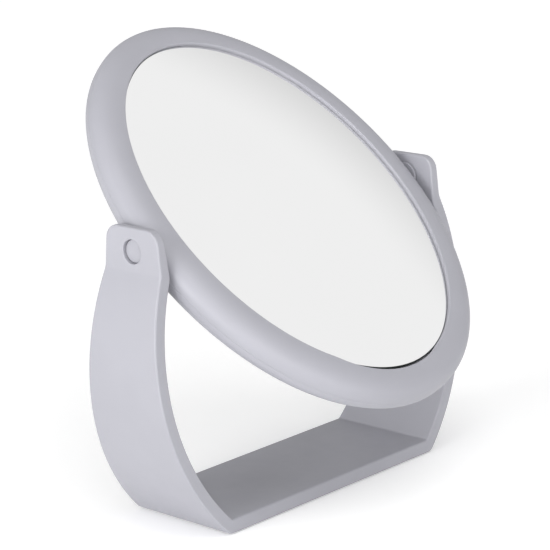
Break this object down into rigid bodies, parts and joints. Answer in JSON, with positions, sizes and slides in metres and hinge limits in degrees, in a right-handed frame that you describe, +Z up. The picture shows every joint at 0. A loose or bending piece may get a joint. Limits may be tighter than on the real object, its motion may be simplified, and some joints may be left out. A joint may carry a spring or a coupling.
{
  "type": "vanity mirror",
  "caption": "Oval table vanity mirror with a mirror on each face, in a rounded ring frame that turns on a pivot axis between the arms of a U-shaped stand.",
  "frame": {"origin": "on the table, below the middle of the pivot axis", "axes": "+X to the right along the pivot axis, -Y to the front that the tilted mirror faces, +Z up"},
  "size_m": [0.1994, 0.1612, 0.1996],
  "materials": {
    "body_plastic": "soft-touch satin, light grey-lilac",
    "mirror_glass": "silvered float glass with a polished edge",
    "rubber_feet": "matte non-slip rubber",
    "foam": "closed-cell foam with adhesive faces",
    "core_board": "grey fibreboard",
    "nylon": "natural nylon",
    "screw_steel": "zinc-plated steel"
  },
  "bodies": {
    "stand": {"u_stand": "body_plastic", "foot_pad_front_left": "rubber_feet", "foot_pad_rear_left": "rubber_feet", "foot_pad_front_right": "rubber_feet", "foot_pad_rear_right": "rubber_feet", "left_friction_washer": "body_plastic", "right_friction_washer": "body_plastic"},
    "head": {"front_frame": "body_plastic", "rear_frame": "body_plastic", "front_mirror": "mirror_glass", "rear_mirror": "mirror_glass", "front_foam_pad": "foam", "rear_foam_pad": "foam", "core_plate": "core_board", "frame_screw_1": "screw_steel", "frame_screw_2": "screw_steel", "frame_screw_3": "screw_steel", "frame_screw_4": "screw_steel", "frame_screw_5": "screw_steel", "frame_screw_6": "screw_steel", "left_pivot_socket": "nylon", "right_pivot_socket": "nylon", "left_pivot_pin": "body_plastic", "right_pivot_pin": "body_plastic"}
  },
  "joints": [
    {"name": "head_tilt", "type": "hinge", "parent": "stand", "child": "head", "pos_m": [0, 0, 0.125], "axis": [1, 0, 0], "continuous": true}
  ]
}
